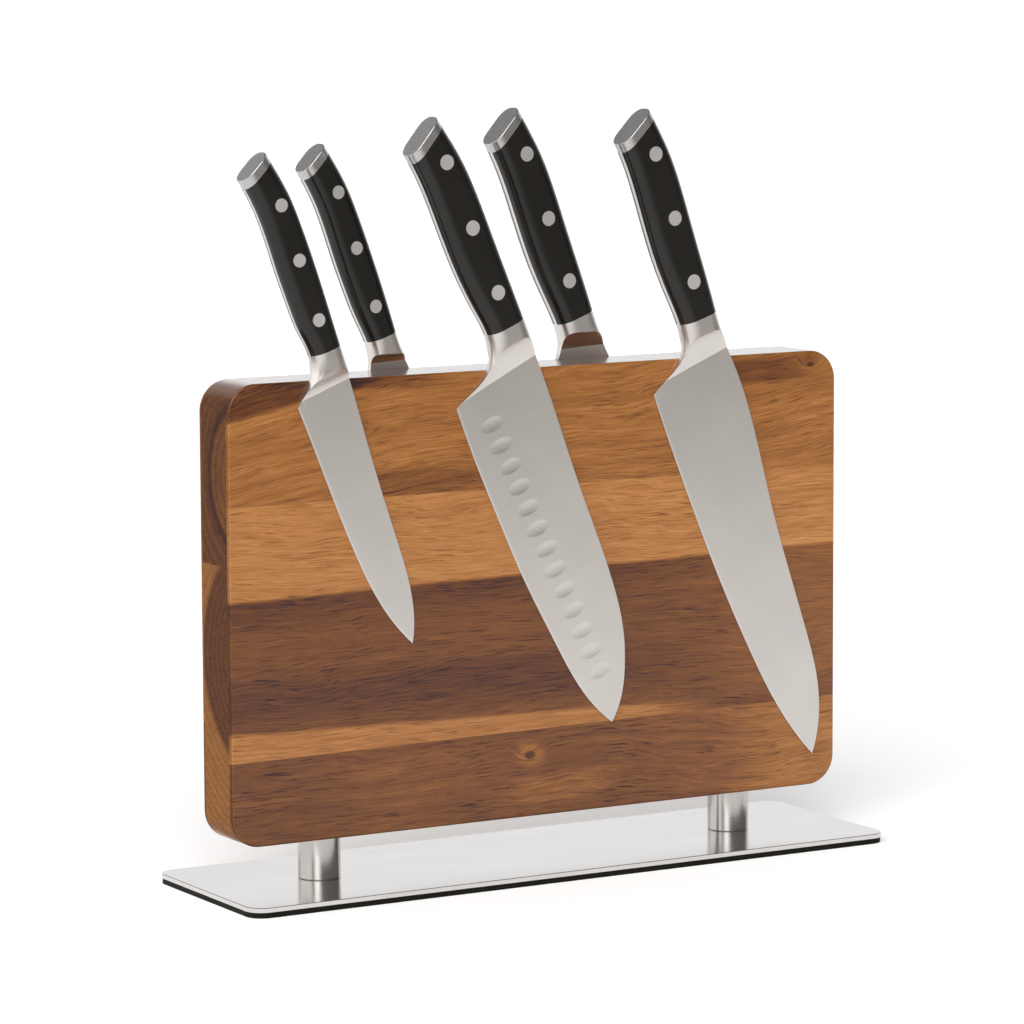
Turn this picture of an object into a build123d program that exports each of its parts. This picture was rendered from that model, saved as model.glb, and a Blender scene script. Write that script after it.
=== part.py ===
from build123d import *
import os
from math import atan, cos, degrees, radians, sin

# A free-standing, two-sided magnetic knife rack that carries five forged knives.
# Frame: millimetres, +Z up, origin at the centre of the base's underside.
# The front face of the board looks along -Y and the rear face along +Y.

# Base plate and its rubber pad
base_length = 364.5
base_depth = 107.0
base_corner_radius = 9.0
pad_thickness = 2.8
pad_inset = 0.4
plate_thickness = 2.3
plate_edge_break = 0.3

# Posts, with one screw through each of them
post_diameter = 21.0
post_spacing = 238.0
post_edge_break = 0.4
screw_diameter = 6.0
screw_clearance = 6.6
screw_head_diameter = 10.8
screw_edge_break = 0.75
screw_end_room = 1.0
socket_radius = 2.0
socket_depth = 1.8
hexagon = 6
insert_diameter = 9.5
insert_depth = 15.0

# Board: a core of two staves between two thin panels of three staves each. A joint
# between staves has a height above the board's underside at the left and right ends.
board_length = 348.0
board_thickness = 31.0
board_height = 225.0
board_underside = 26.4
board_corner_radius = 15.0
board_edge_round = 1.1
panel_thickness = 2.4
core_joint = (137.0, 137.0)
front_joints = ((41.8, 46.0), (166.0, 166.0))
rear_joints = ((58.0, 58.0), (148.0, 148.0))

# Magnets on steel strips, in channels milled into the core behind each panel
channel_heights = (95.0, 165.0)
channel_length = 312.0
channel_width = 15.0
strip_thickness = 2.0
magnet_length = 40.0
magnet_thickness = 5.0
magnet_pitch = 45.0
magnets_per_channel = 7

# Fit of the blades against the board, and of the bolsters above its top
blade_gap = 0.15
board_clearance = 0.5

# Knife sections: each knife is drawn in its own plane, with X from the butt to
# the tip, Y towards the cutting edge and the origin on the middle rivet.
cap_thickness = 4.4
cap_edge_round = 0.4
butt_slant = 28.0
edge_thickness = 0.6
tip_thickness = 0.8
bevel_width = 1.0
bevel_height = 0.12
dimple_count = 13
dimple_start = 95.4
dimple_pitch = 11.8
dimple_line = 28.3
dimple_line_fall = 0.035
dimple_length = 11.6
dimple_width = 6.8
dimple_depth = 0.12
dimple_slant = 6.0

top_of_pad = pad_thickness
top_of_plate = pad_thickness + plate_thickness
board_middle = board_underside + board_height / 2
top_of_board = board_underside + board_height
core_half = board_thickness / 2 - panel_thickness

# Construction: a size beyond every part, small overlaps, and what counts as a side
# face (by its normal) or as one of its long edges
reach = 500.0
overlap = 1.0
side_normal_limit = 0.5
long_edge = 30.0


class Grip:
    """The handle and bolster that knives of one size share."""

    def __init__(self, half_thickness, spine_thickness, belly_round, spine_round,
                 rivet_diameter, scale_end, butt_corner, scoop_start, scoop_end, scoop_radius,
                 board_scoop_length, belly, spine):
        self.half_thickness = half_thickness
        self.spine_thickness = spine_thickness
        self.belly_round = belly_round
        self.spine_round = spine_round
        self.rivet_diameter = rivet_diameter
        self.scale_end = scale_end
        self.butt_corner = butt_corner
        self.scoop_start = scoop_start
        self.scoop_end = scoop_end
        self.scoop_radius = scoop_radius
        self.board_scoop_length = board_scoop_length
        self.belly = belly
        self.spine = spine


class Knife:
    """One knife: its grip, its blade outline and its place on the rack."""

    def __init__(self, name, grip, side, middle_rivet, lean, rivets, butt_extra, neck, heel,
                 edge, tip, back, dimpled=False):
        self.name = name
        self.grip = grip
        self.side = side
        self.middle_rivet = middle_rivet
        self.lean = lean
        self.rivets = rivets
        self.butt_extra = butt_extra
        self.neck = neck
        self.heel = heel
        self.edge = edge
        self.tip = tip
        self.back = back
        self.dimpled = dimpled


large_grip = Grip(
    half_thickness=8.0, spine_thickness=2.4, belly_round=6.8, spine_round=6.5,
    rivet_diameter=7.5, scale_end=53.5, butt_corner=(-44.6, 15.4),
    scoop_start=61.8, scoop_end=81.0, scoop_radius=34.0, board_scoop_length=13.0,
    belly=[(-62, 18.4), (-44.6, 15.3), (-30, 13.9), (-14, 13.8), (6, 14.2), (22, 13.9),
           (40, 12.2), (56, 11.0)],
    spine=[(-62, -4.8), (-47, -7.6), (-30, -10.2), (-12, -10.9), (12, -10.5), (50, -9.9),
           (62, -9.7)])

small_grip = Grip(
    half_thickness=7.3, spine_thickness=2.0, belly_round=6.3, spine_round=6.0,
    rivet_diameter=6.6, scale_end=47.0, butt_corner=(-44.0, 13.5),
    scoop_start=57.0, scoop_end=67.0, scoop_radius=25.0, board_scoop_length=7.5,
    belly=[(-60, 17.0), (-44, 13.5), (-31, 11.2), (-18, 10.3), (4, 10.4), (20, 10.0),
           (34, 9.1), (50, 7.6)],
    spine=[(-60, -1.2), (-47, -4.1), (-32, -7.2), (-14, -8.6), (8, -9.0), (44, -8.5),
           (54, -8.4)])

chef_knife = Knife(
    "chef_knife", large_grip, side=-1, middle_rivet=(71.75, 322.8), lean=19.15,
    rivets=(-34.2, 0.0, 34.1), butt_extra=0.0,
    neck=[(66, 13.0), (73, 19.2), (78, 29.0)], heel=(81.5, 36.2),
    edge=[(110, 35.4), (150, 33.3), (190, 30.2), (226, 25.9), (260, 19.9)], tip=(293.5, 8.4),
    back=[(284, 2.0), (272, -3.2), (256, -7.0), (234, -8.5), (160, -10.0), (82, -12.0)])

santoku_knife = Knife(
    "santoku_knife", large_grip, side=-1, middle_rivet=(-44.1, 322.2), lean=23.7,
    rivets=(-35.3, 0.0, 35.0), butt_extra=1.0,
    neck=[(65.5, 14.1), (72.4, 20.9), (77.1, 33.4)], heel=(79.4, 40.4),
    edge=[(106.9, 41.6), (140.9, 41.6), (174.9, 40.8), (210, 37.9), (244.1, 33.1)],
    tip=(264.3, 25.0),
    back=[(256.6, 16.4), (240.8, 6.8), (223.9, 0.5), (204, -3.1), (150.1, -5.7), (84.1, -9.3)],
    dimpled=True)

utility_knife = Knife(
    "utility_knife", small_grip, side=-1, middle_rivet=(-138.7, 310.2), lean=19.4,
    rivets=(-28.2, 0.0, 30.7), butt_extra=1.6,
    neck=[(56.5, 10.3), (61.4, 14.2)], heel=(68.3, 21.8),
    edge=[(94.3, 20.3), (124.3, 18.8), (149.4, 16.9), (169.4, 14.1)], tip=(201.2, 3.1),
    back=[(189.8, -1.7), (173.8, -4.9), (149.8, -5.9), (99.8, -6.8), (67.9, -8.2)])

carving_knife = Knife(
    "carving_knife", large_grip, side=1, middle_rivet=(18.1, 322.7), lean=20.7,
    rivets=(-34.7, 0.0, 33.8), butt_extra=1.5,
    neck=[(66, 13.0), (72.5, 19.2)], heel=(78, 26.0),
    edge=[(120, 25.2), (170, 22.6), (220, 17.6), (255, 10.0)], tip=(278, 0.4),
    back=[(264, -6.4), (244, -9.8), (200, -10.6), (140, -11.0), (82, -11.7)])

paring_knife = Knife(
    "paring_knife", small_grip, side=1, middle_rivet=(-90.2, 312.1), lean=19.5,
    rivets=(-29.2, 0.0, 30.7), butt_extra=1.0,
    neck=[(57, 8.8), (61.5, 10.7)], heel=(67, 14.6),
    edge=[(90, 13.6), (115, 10.8), (138, 5.6)], tip=(156, -2.0),
    back=[(144, -7.0), (126, -9.0), (100, -9.3), (68, -10.0)])

knives = (chef_knife, santoku_knife, utility_knife, carving_knife, paring_knife)


def save(part, name):
    part.label = name
    export_step(part, os.path.join("parts", name + ".step"))


def thick(face, half):
    """A face thickened by the same amount on both sides, with no seam between them."""
    return extrude(Pos(0, 0, -half) * face, 2 * half)


def rounded_slab(length, depth, thickness, radius, bottom):
    outline = Pos(0, 0, bottom) * RectangleRounded(length, depth, radius)
    return extrude(outline, thickness)


def upright_cylinder(diameter, bottom, height):
    return Cylinder(diameter / 2, height, align=(Align.CENTER, Align.CENTER, Align.MIN)).moved(
        Pos(0, 0, bottom))


def post_places():
    return [Pos(side * post_spacing / 2, 0, 0) for side in (-1, 1)]


# Base

def rubber_pad():
    return rounded_slab(base_length - 2 * pad_inset, base_depth - 2 * pad_inset, pad_thickness,
                        base_corner_radius - pad_inset, 0)


def countersink():
    return Cone(screw_head_diameter / 2, screw_clearance / 2,
                (screw_head_diameter - screw_clearance) / 2,
                align=(Align.CENTER, Align.CENTER, Align.MIN)).moved(Pos(0, 0, top_of_pad))


def base_plate():
    plate = rounded_slab(base_length, base_depth, plate_thickness, base_corner_radius, top_of_pad)
    plate = chamfer(plate.faces().sort_by(Axis.Z)[-1].edges(), plate_edge_break)
    hole = upright_cylinder(screw_clearance, top_of_pad, plate_thickness)
    for place in post_places():
        plate -= place * hole
        plate -= place * countersink()
    return plate


def post():
    height = board_underside - top_of_plate
    body = upright_cylinder(post_diameter, top_of_plate, height)
    body = chamfer(body.edges(), post_edge_break)
    return body - upright_cylinder(screw_clearance, top_of_plate, height)


def screw():
    length = board_underside + insert_depth - screw_end_room - top_of_pad
    shank = upright_cylinder(screw_diameter, top_of_pad, length)
    shank = chamfer(shank.edges().sort_by(Axis.Z)[-1], screw_edge_break)
    socket = extrude(Pos(0, 0, top_of_pad) * RegularPolygon(socket_radius, hexagon),
                     socket_depth)
    return shank + countersink() - socket


def insert():
    sleeve = upright_cylinder(insert_diameter, board_underside, insert_depth)
    return sleeve - upright_cylinder(screw_diameter, board_underside, insert_depth)


# Board

def board_blank():
    outline = RectangleRounded(board_length, board_height, board_corner_radius)
    blank = Pos(0, 0, board_middle) * Rot(90, 0, 0) * thick(outline, board_thickness / 2)
    faces = blank.faces().sort_by(Axis.Y)
    return fillet(faces[0].edges() + faces[-1].edges(), board_edge_round)


def slice_of_board(blank, low, high, near, far):
    """The part of the blank between two joints and two depths."""
    end = board_length / 2
    outline = Polyline((-end, low[0]), (end, low[1]), (end, high[1]), (-end, high[0]), close=True)
    block = thick(make_face(outline), (far - near) / 2)
    return blank & block.moved(Location((0, (near + far) / 2, board_underside), (90, 0, 0)))


def staves(blank, joints, near, far):
    edges = ((0.0, 0.0),) + joints + ((board_height, board_height),)
    return [slice_of_board(blank, low, high, near, far) for low, high in zip(edges, edges[1:])]


def in_channel(length, thickness, x, height, depth, side):
    """A bar at a place along a channel, a depth below the core's face on one side."""
    y = side * (core_half - depth - thickness / 2)
    return Box(length, thickness, channel_width).moved(Pos(x, y, board_underside + height))


def channels(side):
    depth = strip_thickness + magnet_thickness
    return [in_channel(channel_length, depth, 0, height, 0, side) for height in channel_heights]


def steel_strips(side):
    return Compound([in_channel(channel_length, strip_thickness, 0, height, magnet_thickness, side)
                     for height in channel_heights])


def magnets(side):
    first = -magnet_pitch * (magnets_per_channel - 1) / 2
    return Compound([in_channel(magnet_length, magnet_thickness, first + i * magnet_pitch,
                                height, 0, side)
                     for height in channel_heights for i in range(magnets_per_channel)])


def core_staves(blank):
    lower, upper = staves(blank, (core_joint,), -core_half, core_half)
    pocket = upright_cylinder(insert_diameter, board_underside, insert_depth)
    for place in post_places():
        lower -= place * pocket
    for channel in channels(-1) + channels(1):
        lower -= channel
        upper -= channel
    return lower, upper


# Knives, each drawn flat: X to the tip, Y to the cutting edge, Z through the thickness

def knife_outline(knife):
    grip = knife.grip
    belly = Spline(grip.belly + knife.neck + [knife.heel])
    edge = Spline([knife.heel] + knife.edge + [knife.tip])
    back = Spline([knife.tip] + knife.back + grip.spine[::-1])
    butt = Line(grip.spine[0], grip.belly[0])
    return make_face([belly, edge, back, butt])


def half_thickness_planes(knife):
    """Two planes that taper the blade from its back to its edge and from heel to tip."""
    across, along = blade_tapers(knife)
    half = knife.grip.spine_thickness / 2
    start = (knife.back[-1][0], knife.back[-1][1])
    return [Plane(origin=(start[0], start[1], face * half), z_dir=(along, across, face))
            for face in (-1, 1)]


def blade_tapers(knife):
    half = knife.grip.spine_thickness / 2
    start = knife.back[-1]
    across = (half - edge_thickness / 2) / (knife.heel[1] - start[1])
    left = half - across * (knife.tip[1] - start[1])
    along = (left - tip_thickness / 2) / (knife.tip[0] - start[0])
    return across, along


def blade_plate(knife, outline):
    plate = thick(outline, knife.grip.spine_thickness)
    for plane in half_thickness_planes(knife):
        plate = split(plate, bisect_by=plane, keep=Keep.BOTTOM)
    return bevelled(knife, plate)


def side_at(solid, points):
    """The upright side face of a flat solid, next to the middle one of some points."""
    x, y = points[len(points) // 2]
    sides = solid.faces().filter_by(lambda f: abs(f.normal_at().Z) < side_normal_limit)
    return sides.sort_by_distance((x, y, 0))[0]


def bevelled(knife, plate):
    """Grinds the narrow bevel along the cutting edge, on both faces."""
    side = side_at(plate, knife.edge)
    long_edges = side.edges().filter_by(lambda e: e.length > knife.tip[0] - knife.heel[0])
    return chamfer(long_edges, bevel_height, bevel_width, reference=side)


def grip_block(knife, outline):
    """The rounded handle and bolster, ground down where the blade begins."""
    grip = knife.grip
    end = grip.scoop_end
    front = Pos(end - reach / 2, 0) * Rectangle(reach, reach)
    block = thick(outline & front, grip.half_thickness)
    for points, radius in ((grip.belly, grip.belly_round), (grip.spine, grip.spine_round)):
        side = side_at(block, points)
        long_edges = side.edges().filter_by(lambda e: e.length > long_edge)
        block = fillet(long_edges, radius)
    scoops = (outer_scoop(grip), board_scoop(knife))
    lower, upper = scoops if knife.side < 0 else scoops[::-1]
    return block - mirror(lower, about=Plane.XY) - upper


def hollow(grip, start, end, radius):
    """The space over an arc that runs from the bolster's face down to its middle."""
    top = grip.half_thickness + overlap
    arc = RadiusArc((start, grip.half_thickness), (end, 0), -radius)
    rest = Polyline((end, 0), (reach, 0), (reach, top), (start, top),
                    (start, grip.half_thickness))
    return Rot(90, 0, 0) * thick(make_face([arc, rest]), reach / 2)


def outer_scoop(grip):
    """The wheel-ground hollow between the bolster's free face and the blade."""
    return hollow(grip, grip.scoop_start, grip.scoop_end, grip.scoop_radius)


def board_scoop(knife):
    """The hollow on the board's side, which ends just above the board's top edge."""
    grip = knife.grip
    length, drop = grip.board_scoop_length, grip.half_thickness
    radius = (length ** 2 + drop ** 2) / (2 * drop)
    height = knife.middle_rivet[1] - top_of_board - board_clearance
    place = Location((height / cos(radians(knife.lean)), 0, 0), (0, 0, knife.lean))
    return place * hollow(grip, -length, 0, radius)


def butt_zone(knife, offset):
    """Everything beyond a slanted plane, a distance inside the butt's end face."""
    slant = radians(butt_slant)
    corner = knife.grip.butt_corner
    place = Location((corner[0] - knife.butt_extra + offset * cos(slant),
                      corner[1] - offset * sin(slant), 0), (0, 0, -butt_slant))
    return place * Box(reach, reach, reach, align=(Align.MAX, Align.CENTER, Align.CENTER))


def blade_zone(grip):
    """Everything from just below the scales to past the tip."""
    block = Box(reach, reach, reach, align=(Align.MIN, Align.CENTER, Align.CENTER))
    return block.moved(Pos(grip.scale_end + overlap, 0, 0))


def scale_zone(grip, face):
    """The space outside the tang on one face, from the bolster to past the butt."""
    block = Box(reach, reach, reach, align=(Align.MAX, Align.CENTER, Align.MIN))
    zone = block.moved(Pos(grip.scale_end, 0, grip.spine_thickness / 2))
    return zone if face > 0 else Rot(180, 0, 0) * zone


def rivet_pins(knife):
    pin = Cylinder(knife.grip.rivet_diameter / 2, 2 * knife.grip.half_thickness)
    return [Pos(along, 0, 0) * pin for along in knife.rivets]


def arc_radius(chord, rise):
    """The radius of a shallow arc."""
    return chord ** 2 / (8 * rise)


def dimple_places(face):
    """The middles of one face's dimples: the other face has one less, between them."""
    count = dimple_count if face < 0 else dimple_count - 1
    shift = 0 if face < 0 else dimple_pitch / 2
    along = [shift + i * dimple_pitch for i in range(count)]
    return [(dimple_start + x, dimple_line - dimple_line_fall * x) for x in along]


def dimple(plate, knife):
    """Grinds a row of shallow ovals along the edge, each with the rim of a wheel."""
    across, along = blade_tapers(knife)
    start = knife.back[-1]
    wheel_radius = arc_radius(dimple_length, dimple_depth)
    rim_radius = arc_radius(dimple_width, dimple_depth)
    wheel = Torus(wheel_radius - rim_radius, rim_radius, rotation=(0, 90, dimple_slant))
    for face in (-1, 1):
        for x, y in dimple_places(face):
            half = (knife.grip.spine_thickness / 2 - across * (y - start[1])
                    - along * (x - start[0]))
            plate -= Pos(x, y, face * (half - dimple_depth + wheel_radius)) * wheel
    return plate


def place_of(knife):
    """The plane of a knife whose inner blade face lies flat on the board."""
    across, along = blade_tapers(knife)
    lean = radians(knife.lean)
    half = knife.grip.spine_thickness / 2
    y = knife.side * (board_thickness / 2 + blade_gap + half)
    x, z = knife.middle_rivet
    start = knife.back[-1]
    axis = Plane(origin=(x, y, z), x_dir=(sin(lean), 0, -cos(lean)), z_dir=(0, 1, 0))
    toward = -knife.side
    tilt = Rot(toward * degrees(atan(across)), -toward * degrees(atan(along)), 0)
    to_start = Pos(start[0], start[1], 0)
    return Location(axis) * to_start * tilt * to_start.inverse()


def knife_parts(knife):
    grip = knife.grip
    outline = knife_outline(knife)
    plate = blade_plate(knife, outline)
    if knife.dimpled:
        plate = dimple(plate, knife)
    whole = (plate & blade_zone(grip)) + grip_block(knife, outline)
    whole -= butt_zone(knife, 0)
    pins = rivet_pins(knife)
    cap = whole & butt_zone(knife, cap_thickness)
    cap = fillet(cap.faces().sort_by_distance((-reach, 0, 0))[0].edges(), cap_edge_round)
    rest = whole - butt_zone(knife, cap_thickness)
    scales = [rest & scale_zone(grip, face) for face in (-1, 1)]
    blade = rest - scale_zone(grip, -1) - scale_zone(grip, 1)
    for pin in pins:
        blade -= pin
        scales = [scale - pin for scale in scales]
    outer, inner = (scales if knife.side < 0 else scales[::-1])
    return {"blade": blade, "outer_scale": outer, "inner_scale": inner,
            "rivets": Compound(pins), "butt_cap": cap}


def main():
    os.makedirs("parts", exist_ok=True)
    save(rubber_pad(), "rubber_pad")
    save(base_plate(), "base_plate")
    left, right = post_places()
    save(left * post(), "post_left")
    save(right * post(), "post_right")
    save(Compound([place * screw() for place in post_places()]), "post_screws")
    save(Compound([place * insert() for place in post_places()]), "threaded_inserts")

    blank = board_blank()
    for stave, name in zip(core_staves(blank), ("lower", "upper")):
        save(stave, "core_stave_" + name)
    front = staves(blank, front_joints, -board_thickness / 2, -core_half)
    rear = staves(blank, rear_joints, core_half, board_thickness / 2)
    for side, panel in (("front", front), ("rear", rear)):
        for stave, name in zip(panel, ("bottom", "middle", "top")):
            save(stave, side + "_stave_" + name)
    for side, name in ((-1, "front"), (1, "rear")):
        save(magnets(side), name + "_magnets")
        save(steel_strips(side), name + "_steel_strips")

    for knife in knives:
        place = place_of(knife)
        for name, part in knife_parts(knife).items():
            save(place * part, knife.name + "_" + name)


main()
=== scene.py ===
import math

import bpy
from mathutils import Matrix, Vector

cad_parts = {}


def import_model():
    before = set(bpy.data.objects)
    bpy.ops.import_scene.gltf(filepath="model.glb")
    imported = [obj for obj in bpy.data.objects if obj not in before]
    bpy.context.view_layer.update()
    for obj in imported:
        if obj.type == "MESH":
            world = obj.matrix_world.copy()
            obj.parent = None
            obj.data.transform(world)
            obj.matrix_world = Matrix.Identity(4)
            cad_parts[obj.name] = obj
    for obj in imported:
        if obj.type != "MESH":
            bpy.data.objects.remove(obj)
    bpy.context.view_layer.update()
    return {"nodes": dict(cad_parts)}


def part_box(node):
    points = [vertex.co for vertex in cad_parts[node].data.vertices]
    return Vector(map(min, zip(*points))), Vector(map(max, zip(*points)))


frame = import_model()
nodes = frame["nodes"]
scene = bpy.context.scene

MM = 0.001
BOARD_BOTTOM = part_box("core_stave_lower")[0].z / MM


# Node trees

COLOUR_A, COLOUR_B, COLOUR_RESULT = 6, 7, 2


class Tree:
    """The node tree of a material or world, built with short calls. A socket or a plain
    value may be given wherever a node takes an input."""

    def __init__(self, owner, shader):
        owner.use_nodes = True
        self.nodes = owner.node_tree.nodes
        self.links = owner.node_tree.links
        self.shader = self.nodes[shader]
        self.coordinates = self.new("ShaderNodeTexCoord")

    def new(self, kind, **settings):
        node = self.nodes.new(kind)
        for key, value in settings.items():
            setattr(node, key, value)
        return node

    def put(self, socket, value):
        if isinstance(value, bpy.types.NodeSocket):
            self.links.new(value, socket)
        elif value is not None:
            if socket.type == "RGBA" and len(value) == 3:
                value = (*value, 1.0)
            socket.default_value = value

    def math(self, operation, a, b=None):
        node = self.new("ShaderNodeMath", operation=operation)
        for socket, value in zip(node.inputs, (a, b)):
            self.put(socket, value)
        return node.outputs[0]

    def add(self, a, b):
        return self.math("ADD", a, b)

    def sub(self, a, b):
        return self.math("SUBTRACT", a, b)

    def mul(self, a, b):
        return self.math("MULTIPLY", a, b)

    def total(self, *terms):
        result = terms[0]
        for term in terms[1:]:
            result = self.add(result, term)
        return result

    def step(self, value, low, high, bottom=0.0, top=1.0):
        """A smooth step from bottom to top as value goes from low to high."""
        node = self.new("ShaderNodeMapRange", interpolation_type="SMOOTHSTEP")
        for socket, item in zip(node.inputs, (value, low, high, bottom, top)):
            self.put(socket, item)
        return node.outputs[0]

    def mix(self, factor, a, b, blend="MIX"):
        """Two colours mixed. The node's colour sockets share their names with others, so
        they are found by place."""
        node = self.new("ShaderNodeMix", data_type="RGBA", blend_type=blend)
        self.put(node.inputs["Factor"], factor)
        self.put(node.inputs[COLOUR_A], a)
        self.put(node.inputs[COLOUR_B], b)
        return node.outputs[COLOUR_RESULT]

    def ramp(self, value, stops):
        """The colour at a value, from pairs of a position and a colour."""
        node = self.new("ShaderNodeValToRGB")
        elements = node.color_ramp.elements
        while len(elements) < len(stops):
            elements.new(0.5)
        for element, (position, colour) in zip(elements, stops):
            element.position = position
            element.color = (*colour, 1.0)
        self.put(node.inputs[0], value)
        return node.outputs[0]

    def parts(self, vector):
        node = self.new("ShaderNodeSeparateXYZ")
        self.put(node.inputs[0], vector)
        return list(node.outputs)

    def vector(self, x, y, z):
        node = self.new("ShaderNodeCombineXYZ")
        for socket, value in zip(node.inputs, (x, y, z)):
            self.put(socket, value)
        return node.outputs[0]

    def noise(self, x, y, z, sizes, seed=0.0, detail=2.0, roughness=0.5):
        """Noise about 0.5 whose blotches are about the given sizes, in millimetres."""
        scaled = [self.mul(value, 1 / size) for value, size in zip((x, y, z), sizes)]
        node = self.new("ShaderNodeTexNoise", noise_dimensions="4D")
        self.put(node.inputs["Vector"], self.vector(*scaled))
        self.put(node.inputs["W"], seed)
        self.put(node.inputs["Scale"], 1.0)
        self.put(node.inputs["Detail"], detail)
        self.put(node.inputs["Roughness"], roughness)
        return node.outputs[0]

    def swing(self, noise, amount):
        """Noise about 0.5 turned into a swing of plus or minus about half the amount."""
        return self.mul(self.sub(noise, 0.5), amount)

    def bump(self, height, distance, strength):
        node = self.new("ShaderNodeBump")
        self.put(node.inputs["Height"], height)
        self.put(node.inputs["Distance"], distance)
        self.put(node.inputs["Strength"], strength)
        return node.outputs[0]

    def set(self, **values):
        """Sets the shader's inputs, named with underscores for spaces."""
        for key, value in values.items():
            self.put(self.shader.inputs[key.replace("_", " ")], value)


class Surface(Tree):
    """A material whose pattern follows the place on the object, in millimetres."""

    def __init__(self, name):
        self.material = bpy.data.materials.new(name)
        super().__init__(self.material, "Principled BSDF")
        self.place = self.coordinates.outputs["Object"]

    def axes(self):
        """X, Y and Z in millimetres."""
        return [self.mul(out, 1 / MM) for out in self.parts(self.place)]


def linear(r, g, b):
    """A colour in linear light, from its sRGB value of 0 to 255 in each channel."""
    def channel(value):
        value = value / 255
        return value / 12.92 if value <= 0.04045 else ((value + 0.055) / 1.055) ** 2.4
    return tuple(channel(value) for value in (r, g, b))


# Wood: heights are in millimetres above the board's underside, tones run from 0, the
# darkest, to 1, the palest, and sizes of grain are along X, Y and Z

SHEEN = 0.024
BLACKEST = 0.004


def timber(r, g, b):
    """A wood colour as seen, less the light that the oiled surface mirrors."""
    return tuple(max(channel - SHEEN, BLACKEST) for channel in linear(r, g, b))


WOOD_TONES = [
    (0.00, timber(66, 42, 33)),
    (0.20, timber(102, 65, 43)),
    (0.40, timber(124, 81, 52)),
    (0.62, timber(155, 103, 60)),
    (0.80, timber(181, 125, 76)),
    (1.00, timber(206, 152, 98)),
]
END_GRAIN_SHADE = 0.62

# Waviness of the grain, as its sizes and height, and how far from the middle of the board
# the grain's slope has grown by the whole of turn_up
SLOW_WARP = ((150, 60, 60), 26)
QUICK_WARP = ((30, 14, 14), 3.6)
TURN_UP_REACH = 170

# Sizes of grain and pores, and the noise values between which a pore or patch fades in
COARSE_GRAIN = (120, 9, 5.0)
MEDIUM_GRAIN = (60, 2.4, 1.8)
FINE_GRAIN = (24, 0.9, 0.72)
PORES = (16, 0.9, 0.62)
PORE_EDGE = (0.57, 0.66)
PORE_PATCHES = (55, 14, 14)
PATCH_EDGE = (0.36, 0.60)
PORES_LEAST = 0.40
GRAIN_DEPTH = 0.05 * MM

# Shifts of tone: the coarse and medium grain as multiples of a wood's streak
COARSE_STREAK = 2.4
MEDIUM_STREAK = 2.0
FINE_STREAK = 0.70
PORE_SHIFT = -0.26

# How far a face looks sideways or up before it counts as end grain or as a top
SIDEWAYS = (0.55, 0.95)
UPWARD = (0.5, 0.95)

# Oiled finish on the faces, with what end grain and upward faces add to it
FACE_ROUGHNESS = 0.38
END_ROUGHNESS, TOP_ROUGHNESS = 0.15, -0.15
FACE_COAT = 0.40
END_COAT, TOP_COAT = -0.40, 0.60
FACE_SPECULAR = 0.32
END_SPECULAR, TOP_SPECULAR = -0.22, 0.8
COAT_ROUGHNESS = 0.12


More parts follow.
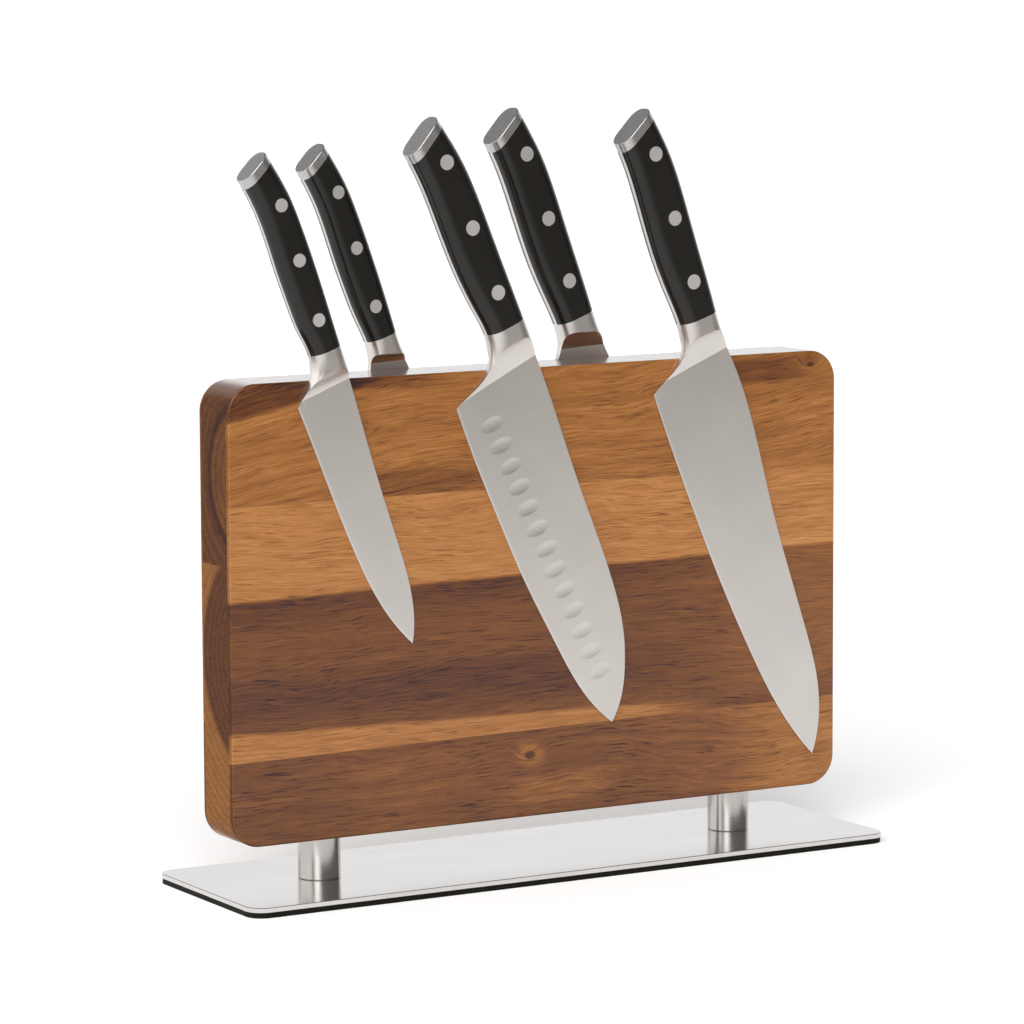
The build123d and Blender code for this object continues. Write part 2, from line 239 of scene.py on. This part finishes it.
class Wood(Surface):
    """Timber whose fibres run along X. Further calls add bands, knots and rings."""

    def __init__(self, name, seed, tone=None, slope=0.0, turn_up=0.0):
        """The grain rises to the right by slope, which grows by turn_up to both ends."""
        super().__init__(name)
        self.seed = seed
        self.tone = tone
        self.x, self.y, height = self.axes()
        self.z = self.sub(height, BOARD_BOTTOM)
        slow = self.noise(self.x, self.y, self.z, SLOW_WARP[0], seed, detail=2.0)
        quick = self.noise(self.x, self.y, self.z, QUICK_WARP[0], seed + 1, detail=2.0)
        self.warp = self.add(self.swing(slow, SLOW_WARP[1]), self.swing(quick, QUICK_WARP[1]))
        bend = self.mul(self.x, self.mul(self.x, turn_up / TURN_UP_REACH ** 2))
        rise = self.mul(self.x, self.add(bend, slope))
        self.across = self.add(self.sub(self.z, rise), self.warp)
        self.depth = self.add(self.y, self.mul(self.warp, 0.5))

    def band(self, low, high, soft_low, soft_high, shift, rise=0.0, left=None, right=None,
             fade=30.0):
        """Shifts the tone between two heights, which may rise along X and fade at its ends."""
        height = self.total(self.z, self.mul(self.x, -rise), self.mul(self.warp, 0.10))
        mask = self.mul(self.step(height, low - soft_low, low + soft_low),
                        self.step(height, high - soft_high, high + soft_high, 1.0, 0.0))
        if left is not None:
            mask = self.mul(mask, self.step(self.x, left - fade, left + fade))
        if right is not None:
            mask = self.mul(mask, self.step(self.x, right - fade, right + fade, 1.0, 0.0))
        self.tone = self.add(self.tone, self.mul(mask, shift))

    def knot(self, x, z, length, height, shift, halo):
        """A small dark knot in a paler patch, with the grain bending round it."""
        dx = self.mul(self.sub(self.x, x), 1 / length)
        dz = self.mul(self.sub(self.z, z), 1 / height)
        far = self.math("SQRT", self.add(self.mul(dx, dx), self.mul(dz, dz)))
        far = self.add(far, self.mul(self.warp, 0.05))
        core = self.step(far, 0.3, 1.0, shift, 0.0)
        patch = self.step(far, 1.0, 3.2, halo, 0.0)
        self.tone = self.total(self.tone, core, patch)
        self.across = self.add(self.across, self.step(far, 0.2, 4.0, 5.0, 0.0))

    def finish(self, streak, rings=None):
        """Adds the grain, the pores and the oiled finish, and gives the material."""
        x, across, depth, seed = self.x, self.across, self.depth, self.seed
        coarse = self.noise(x, depth, across, COARSE_GRAIN, seed + 2, detail=3.0, roughness=0.6)
        medium = self.noise(x, depth, across, MEDIUM_GRAIN, seed + 3, detail=3.0, roughness=0.65)
        fine = self.noise(x, depth, across, FINE_GRAIN, seed + 4, detail=3.0, roughness=0.7)
        dashes = self.noise(x, depth, across, PORES, seed + 5, detail=1.0)
        pores = self.step(dashes, *PORE_EDGE)
        patches = self.noise(x, depth, across, PORE_PATCHES, seed + 6, detail=2.0)
        pores = self.mul(pores, self.step(patches, *PATCH_EDGE, PORES_LEAST, 1.0))
        tone = self.total(self.tone, self.swing(coarse, streak * COARSE_STREAK),
                          self.swing(medium, streak * MEDIUM_STREAK),
                          self.swing(fine, FINE_STREAK), self.mul(pores, PORE_SHIFT))
        if rings is not None:
            tone = self.add(tone, rings)
        colour = self.ramp(tone, WOOD_TONES)
        sideways, _, upward = self.parts(self.coordinates.outputs["Normal"])
        end_grain = self.step(self.math("ABSOLUTE", sideways), *SIDEWAYS)
        upward = self.step(upward, *UPWARD)
        shade = self.step(end_grain, 0.0, 1.0, 1.0, END_GRAIN_SHADE)
        colour = self.mix(1.0, colour, self.vector(shade, shade, shade), "MULTIPLY")
        height = self.add(self.mul(fine, 0.5), self.mul(pores, -1.0))
        gloss = self.total(self.swing(medium, 0.10), self.mul(pores, 0.15),
                           self.mul(end_grain, END_ROUGHNESS),
                           self.mul(upward, TOP_ROUGHNESS))
        coat = self.total(FACE_COAT, self.mul(end_grain, END_COAT), self.mul(upward, TOP_COAT))
        specular = self.total(FACE_SPECULAR, self.mul(end_grain, END_SPECULAR),
                              self.mul(upward, TOP_SPECULAR))
        self.set(Base_Color=colour, Roughness=self.add(gloss, FACE_ROUGHNESS),
                 Specular_IOR_Level=specular, Coat_Weight=coat, Coat_Roughness=COAT_ROUGHNESS,
                 Normal=self.bump(height, GRAIN_DEPTH, strength=0.5))
        return self.material

    def round(self, centre_y, centre_z):
        """The distance from the tree's centre line, where growth rings show as arcs."""
        dy = self.sub(self.y, centre_y)
        dz = self.sub(self.z, centre_z)
        radius = self.math("SQRT", self.add(self.mul(dy, dy), self.mul(dz, dz)))
        return self.add(radius, self.mul(self.warp, 0.25))

    def rings(self, radius, pitch, amount):
        """Growth rings at a pitch, which shift the tone up and down by the amount."""
        return self.mul(self.math("SINE", self.mul(radius, 2 * math.pi / pitch)), amount)


def top_stave_wood():
    """Medium brown, with dark streaks at its upper left and right and two small knots."""
    wood = Wood("wood_top_stave", 3.0, 0.64, slope=0.03, turn_up=0.045)
    wood.band(low=239, high=300, soft_low=2.0, soft_high=1.0, shift=-0.42,
              rise=0.18, right=-95, fade=14)
    wood.band(low=219, high=300, soft_low=2.5, soft_high=2.5, shift=-0.26,
              left=-125, right=-60, fade=20)
    wood.band(low=210, high=222, soft_low=3.0, soft_high=2.0, shift=-0.34,
              left=95, right=155, fade=22)
    wood.band(low=166, high=179, soft_low=1.0, soft_high=4.0, shift=-0.20,
              left=-100, right=-30, fade=22)
    wood.knot(x=159, z=218, length=3.0, height=1.6, shift=-0.35, halo=0.06)
    wood.knot(x=86, z=223, length=3.0, height=1.4, shift=-0.30, halo=0.05)
    return wood.finish(streak=0.17)


def middle_stave_wood():
    """Pale in its upper third and darker below, with a pale strip at its lower left."""
    wood = Wood("wood_middle_stave", 11.0, 0.77)
    wood.band(low=-50, high=122.7, soft_low=1.0, soft_high=1.2, shift=-0.44, rise=0.019)
    wood.band(low=112, high=122.7, soft_low=8.0, soft_high=1.2, shift=-0.14,
              rise=0.019, right=80, fade=40)
    wood.band(low=60, high=82, soft_low=6.0, soft_high=5.0, shift=-0.16, right=60, fade=50)
    wood.band(low=55, high=130, soft_low=6.0, soft_high=6.0, shift=0.14, left=110, fade=30)
    wood.band(low=30, high=52.4, soft_low=1.0, soft_high=1.6, shift=0.38,
              rise=-0.02, right=80, fade=30)
    return wood.finish(streak=0.11)


def bottom_stave_wood():
    """Dark, with a paler right end and one knot near the middle."""
    wood = Wood("wood_bottom_stave", 23.0, 0.40)
    wood.band(low=-10, high=60, soft_low=3, soft_high=5, shift=-0.10, right=-110, fade=30)
    wood.band(low=-10, high=60, soft_low=3, soft_high=3, shift=0.26, left=120, fade=30)
    wood.band(low=-10, high=60, soft_low=3, soft_high=3, shift=-0.06, left=-60, right=60, fade=30)
    wood.band(low=6, high=20, soft_low=3, soft_high=4, shift=0.16, left=-20, right=40, fade=14)
    wood.knot(x=-8, z=31, length=3.6, height=2.4, shift=-0.45, halo=0.24)
    return wood.finish(streak=0.16)


def rear_stave_wood(name, seed, tone):
    return Wood(name, seed, tone, slope=0.02).finish(streak=0.2)


def upper_core_wood():
    wood = Wood("wood_core_upper", 41.0)
    radius = wood.round(centre_y=-30, centre_z=181)
    dark = wood.mul(wood.step(radius, 31, 34), wood.step(radius, 36, 40, 1.0, 0.0))
    wood.tone = wood.add(wood.step(radius, 33, 37, 0.38, 0.28), wood.mul(dark, -0.20))
    return wood.finish(streak=0.13, rings=wood.rings(radius, pitch=6.0, amount=0.06))


def lower_core_wood():
    wood = Wood("wood_core_lower", 53.0)
    radius = wood.round(centre_y=-42.4, centre_z=94)
    wood.tone = wood.step(radius, 55.0, 57.2, 0.26, 0.66)
    return wood.finish(streak=0.11, rings=wood.rings(radius, pitch=4.5, amount=0.05))


# Metals, plastic and rubber: depths are in metres, and sizes of grain in millimetres

BLADE_DARK = linear(198, 193, 189)
BLADE_LIGHT = linear(228, 222, 217)
GRINDING_LINES = (16, 4, 0.30)
BLADE_CLOUDS = (26, 20, 34)
SCRATCH_DEPTH = 0.004 * MM
CLOUD_LEAST = 25
HANDLE_GRAIN_DEPTH = 0.006 * MM
RUBBER_GRAIN_DEPTH = 0.03 * MM


def blade_steel(name, lean):
    """Satin steel with fine grinding lines across the blade."""
    t = Surface(name)
    turn = t.new("ShaderNodeVectorRotate", rotation_type="Y_AXIS")
    t.put(turn.inputs["Vector"], t.place)
    t.put(turn.inputs["Angle"], math.radians(lean))
    across, depth, along = [t.mul(out, 1 / MM) for out in t.parts(turn.outputs[0])]
    lines = t.noise(across, depth, along, GRINDING_LINES, 1.0, detail=3.0, roughness=0.6)
    cloud = t.noise(across, depth, along, BLADE_CLOUDS, 2.0, detail=2.0)
    tone = t.total(0.5, t.swing(lines, 0.45), t.swing(cloud, 0.5))
    colour = t.mix(tone, BLADE_DARK, BLADE_LIGHT)
    t.set(Base_Color=colour, Metallic=1.0, Roughness=t.add(t.swing(lines, 0.08), 0.29),
          Normal=t.bump(lines, SCRATCH_DEPTH, strength=0.5))
    return t.material


def brushed_steel(name, dark, light, sizes, roughness):
    """Steel brushed along the longest of the sizes."""
    t = Surface(name)
    x, y, z = t.axes()
    lines = t.noise(x, y, z, sizes, 5.0, detail=3.0, roughness=0.6)
    cloud = t.noise(x, y, z, [max(size, CLOUD_LEAST) for size in sizes], 6.0, detail=2.0)
    colour = t.mix(t.total(0.5, t.swing(cloud, 0.4), t.swing(lines, 0.7)), dark, light)
    t.set(Base_Color=colour, Metallic=1.0, Roughness=t.add(t.swing(lines, 0.08), roughness),
          Normal=t.bump(lines, SCRATCH_DEPTH, strength=0.6))
    return t.material


def handle_black():
    """Smooth black plastic with a faint sheen."""
    t = Surface("handle_black")
    x, y, z = t.axes()
    cloud = t.noise(x, y, z, (30, 30, 30), 8.0, detail=3.0)
    grain = t.noise(x, y, z, (0.35, 0.35, 0.35), 9.0, detail=2.0)
    colour = t.mix(cloud, (0.0046, 0.0038, 0.0030), (0.0085, 0.0070, 0.0056))
    t.set(Base_Color=colour, Roughness=t.total(0.25, t.swing(cloud, 0.08), t.swing(grain, 0.05)),
          Specular_IOR_Level=0.32, Coat_Weight=0.25, Coat_Roughness=0.06,
          Normal=t.bump(grain, HANDLE_GRAIN_DEPTH, strength=0.4))
    return t.material


def rubber():
    """Dull black rubber."""
    t = Surface("black_rubber")
    x, y, z = t.axes()
    grain = t.noise(x, y, z, (0.5, 0.5, 0.5), 12.0, detail=3.0)
    cloud = t.noise(x, y, z, (25, 25, 10), 13.0, detail=2.0)
    colour = t.mix(cloud, (0.004, 0.004, 0.002), (0.010, 0.009, 0.006))
    t.set(Base_Color=colour, Roughness=t.add(t.swing(cloud, 0.15), 0.65),
          Specular_IOR_Level=0.12, Normal=t.bump(grain, RUBBER_GRAIN_DEPTH, strength=0.5))
    return t.material


def paint(name, material):
    """Gives a CAD node its material."""
    mesh = nodes[name].data
    mesh.materials.clear()
    mesh.materials.append(material)


# Each knife's lean in degrees, which its grinding lines follow
KNIVES = {"chef_knife": 19.15, "santoku_knife": 23.7, "utility_knife": 19.4,
          "carving_knife": 20.7, "paring_knife": 19.5}

paint("front_stave_top", top_stave_wood())
paint("front_stave_middle", middle_stave_wood())
paint("front_stave_bottom", bottom_stave_wood())
paint("rear_stave_top", rear_stave_wood("wood_rear_top", 71.0, 0.55))
paint("rear_stave_middle", rear_stave_wood("wood_rear_middle", 83.0, 0.70))
paint("rear_stave_bottom", rear_stave_wood("wood_rear_bottom", 97.0, 0.42))
paint("core_stave_upper", upper_core_wood())
paint("core_stave_lower", lower_core_wood())
paint("rubber_pad", rubber())
paint("base_plate", brushed_steel("plate_steel", linear(196, 194, 193), linear(232, 230, 229),
                                  (60, 0.5, 0.5), 0.16))
post_steel = brushed_steel("post_steel", linear(172, 168, 164), linear(204, 200, 196),
                           (0.4, 0.4, 40), 0.20)
paint("post_left", post_steel)
paint("post_right", post_steel)
hidden_steel = brushed_steel("hidden_steel", linear(150, 150, 150), linear(180, 180, 180),
                             (20, 0.4, 0.4), 0.35)
hidden_brass = brushed_steel("hidden_brass", linear(190, 150, 80), linear(215, 180, 105),
                             (0.4, 0.4, 10), 0.35)
for name in ("post_screws", "front_steel_strips", "rear_steel_strips", "front_magnets",
             "rear_magnets"):
    paint(name, hidden_steel)
paint("threaded_inserts", hidden_brass)

black = handle_black()
rivet_steel = brushed_steel("rivet_steel", linear(214, 211, 209), linear(240, 237, 235),
                            (6, 0.4, 0.4), 0.42)
cap_steel = brushed_steel("cap_steel", linear(176, 174, 174), linear(205, 203, 202),
                          (0.4, 14, 0.4), 0.28)
for knife, lean in KNIVES.items():
    paint(knife + "_blade", blade_steel(knife + "_steel", lean))
    paint(knife + "_outer_scale", black)
    paint(knife + "_inner_scale", black)
    paint(knife + "_rivets", rivet_steel)
    paint(knife + "_butt_cap", cap_steel)


# Floor, light and camera

# Floor: half its size in metres, its clouds, its painted glow, the painted shade of its far
# front, and where the glow fades into that shade, along Y, in millimetres
FLOOR_HALF = 30.0
FLOOR_CLOUDS = 400
FLOOR_PAINTED_GLOW = 0.27
FLOOR_FAR_PAINTED_SHADE = (0.42, 0.39, 0.35)
FLOOR_FADE = (-1900, -450)

# Brightness of the room, and where the wall fades at its top and sides, as the Z and Y
# of the direction
ROOM_DARK = 0.20
CEILING = 0.30
WALL = 1.0
WALL_TOP = (0.30, 0.46)
WALL_SIDE = (-0.05, 0.22)

# Soft boxes: direction, cosines of the angles where they fade in, and brightness
SIDE_BOX = ((-0.951, 0.309, 0.0), (0.70, 0.78), 1.5)
KEY_BOX = ((-0.50, -0.62, 0.60), (0.86, 0.95), 5.0)

# Camera: place in metres, heading, tilt and roll in degrees, lens in millimetres
EYE = (-1.17463, -2.01526, 0.47287)
HEADING = -30.0503
TILT = -7.2177
ROLL = -0.2686
SENSOR = 36.0
LENS = 165.648
CLIP = (0.1, 100.0)


def floor():
    """A white floor with a painted glow near the object and a darker painted shade a long way in
    front, where only the steel mirrors it.
    """
    mesh = bpy.data.meshes.new("floor")
    low, high = -FLOOR_HALF, FLOOR_HALF
    mesh.from_pydata([(low, low, 0), (high, low, 0), (high, high, 0), (low, high, 0)],
                     [], [(0, 1, 2, 3)])
    plane = bpy.data.objects.new("floor", mesh)
    scene.collection.objects.link(plane)
    t = Surface("floor_white")
    x, y, z = t.axes()
    cloud = t.noise(x, y, z, (FLOOR_CLOUDS,) * 3, 3.0, detail=2.0)
    white = t.mix(cloud, (0.90, 0.90, 0.90), (0.94, 0.94, 0.94))
    # Painted light: the floor glows near the object, and far in front it takes a darker colour as
    # painted shade
    lit = t.step(y, *FLOOR_FADE)
    t.set(Base_Color=t.mix(lit, FLOOR_FAR_PAINTED_SHADE, white), Roughness=0.9, Specular_IOR_Level=0.1,
          Emission_Color=(1.0, 1.0, 1.0), Emission_Strength=t.mul(lit, FLOOR_PAINTED_GLOW))
    mesh.materials.append(t.material)


def world():
    """A dim room with a white wall behind the object and soft boxes to its left."""
    sky = bpy.data.worlds.new("studio")
    scene.world = sky
    t = Tree(sky, "Background")
    direction = t.coordinates.outputs["Generated"]
    _, y, z = t.parts(direction)
    behind = t.step(y, *WALL_SIDE)
    wall = t.step(z, *WALL_TOP, WALL, CEILING)
    light = t.add(t.mul(behind, wall), t.mul(t.sub(1.0, behind), ROOM_DARK))
    for centre, edge, strength in (SIDE_BOX, KEY_BOX):
        toward = t.new("ShaderNodeVectorMath", operation="DOT_PRODUCT")
        t.put(toward.inputs[0], direction)
        t.put(toward.inputs[1], Vector(centre).normalized())
        light = t.math("MAXIMUM", light, t.step(toward.outputs["Value"], *edge, 0.0, strength))
    seen = t.new("ShaderNodeLightPath").outputs["Is Camera Ray"]
    t.set(Color=(1.0, 1.0, 1.0), Strength=t.math("MAXIMUM", light, seen))


def camera():
    """The camera, which looks along +Y when level and unturned."""
    data = bpy.data.cameras.new("camera")
    data.sensor_width = SENSOR
    data.lens = LENS
    data.clip_start, data.clip_end = CLIP
    turn = Matrix.Rotation(math.radians(HEADING), 4, "Z")
    turn = turn @ Matrix.Rotation(math.radians(90 + TILT), 4, "X")
    turn = turn @ Matrix.Rotation(math.radians(ROLL), 4, "Z")
    eye = bpy.data.objects.new("camera", data)
    eye.matrix_world = Matrix.Translation(EYE) @ turn
    scene.collection.objects.link(eye)
    scene.camera = eye


floor()
world()
camera()
scene.view_settings.view_transform = "Standard"
